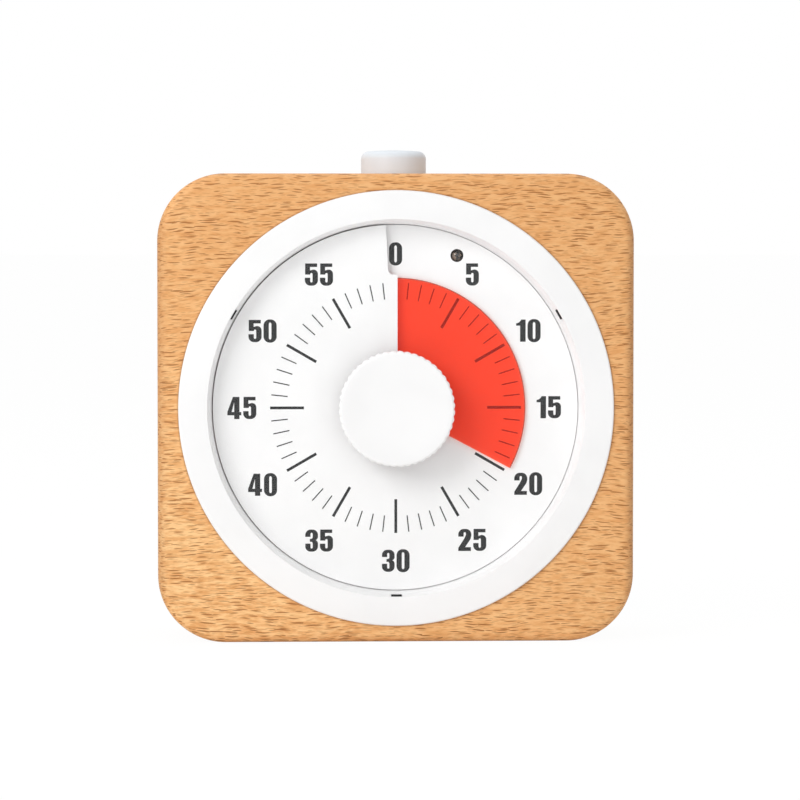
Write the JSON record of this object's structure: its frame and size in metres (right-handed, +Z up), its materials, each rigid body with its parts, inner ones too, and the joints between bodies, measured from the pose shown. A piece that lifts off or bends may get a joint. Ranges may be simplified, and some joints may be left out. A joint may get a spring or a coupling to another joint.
{
  "type": "visual countdown timer",
  "caption": "Square wooden countdown timer: round white dial, red disc that winds out of a slit to show the minutes left, turning knob, push button on top.",
  "frame": {"origin": "middle of the bottom face that the timer stands on", "axes": "+X to the viewer's right, +Y from the dial to the back, +Z up"},
  "size_m": [0.12, 0.0438, 0.1242],
  "materials": {
    "beech": "oiled beech, fine flecks along the grain",
    "white_plastic": "satin moulded plastic",
    "button_plastic": "satin moulded plastic",
    "dial_white": "matt printed plastic",
    "red_plastic": "translucent red sheet",
    "clear_plastic": "clear polished plastic",
    "gear_plastic": "acetal",
    "grey_plastic": "moulded plastic",
    "black_plastic": "moulded plastic",
    "board_green": "coated circuit board",
    "led_clear": "clear epoxy",
    "cell_sleeve": "printed sleeve, left bare",
    "brass": "turned",
    "steel": "nickel plated"
  },
  "bodies": {
    "case": {"wood_case": "beech", "bezel": "white_plastic", "lens": "clear_plastic", "dial_plate": "dial_white", "spindle_bush": "brass", "chassis": "grey_plastic", "chassis_screws": "steel", "gear_back_plate": "grey_plastic", "gear_pillars": "brass", "gear_screws": "steel", "motor": "steel", "circuit_board": "board_green", "board_screws": "steel", "control_chip": "black_plastic", "indicator_led": "led_clear", "buzzer": "black_plastic", "button_guide": "grey_plastic", "button_spring": "steel", "button_switch": "black_plastic", "rear_cover": "white_plastic", "cover_screws": "steel", "cells": "cell_sleeve", "cell_springs": "steel", "cell_contacts": "steel", "volume_switch": "black_plastic"},
    "knob": {"knob": "white_plastic", "spindle": "steel", "spindle_wheel": "gear_plastic", "clutch_spring": "steel"},
    "disc": {"time_disc": "red_plastic", "disc_hub": "gear_plastic"},
    "middle_gear": {"middle_wheel": "gear_plastic"},
    "motor_rotor": {"motor_pinion": "brass", "motor_shaft": "steel"},
    "button": {"top_button": "button_plastic", "button_clip": "steel"},
    "door": {"battery_door": "white_plastic"},
    "volume": {"volume_slider": "black_plastic"}
  },
  "joints": [
    {"name": "knob_turn", "type": "hinge", "parent": "case", "child": "knob", "pos_m": [0, -0.019, 0.059], "axis": [0, 1, 0], "range_deg": [-118, 242]},
    {"name": "disc_lift", "type": "slide", "parent": "knob", "child": "disc", "axis": [0, -1, 0], "range_m": [-0.00066, 0.00135]},
    {"name": "middle_gear_turn", "type": "hinge", "parent": "case", "child": "middle_gear", "pos_m": [0.015, -0.002, 0.059], "axis": [0, 1, 0], "range_deg": [-969, 473]},
    {"name": "motor_turn", "type": "hinge", "parent": "case", "child": "motor_rotor", "pos_m": [0.02279, -0.001, 0.0635], "axis": [0, 1, 0], "range_deg": [-945, 1937]},
    {"name": "button_press", "type": "slide", "parent": "case", "child": "button", "axis": [0, 0, -1], "range_m": [0, 0.0025], "stiffness_N_per_m": 400, "springref_m": -0.001, "deforming": ["button_spring"]},
    {"name": "door_swing", "type": "hinge", "parent": "case", "child": "door", "pos_m": [0, 0.018, 0.0202], "axis": [-1, 0, 0], "range_deg": [0, 90]},
    {"name": "volume_slide", "type": "slide", "parent": "case", "child": "volume", "axis": [1, 0, 0], "range_m": [-0.002, 0.002]}
  ],
  "couplings": [
    {"joint": "disc_lift", "follows": "knob_turn", "m_per_rad": 0.00031831},
    {"joint": "middle_gear_turn", "follows": "knob_turn", "ratio": -4},
    {"joint": "motor_turn", "follows": "knob_turn", "ratio": 8}
  ]
}
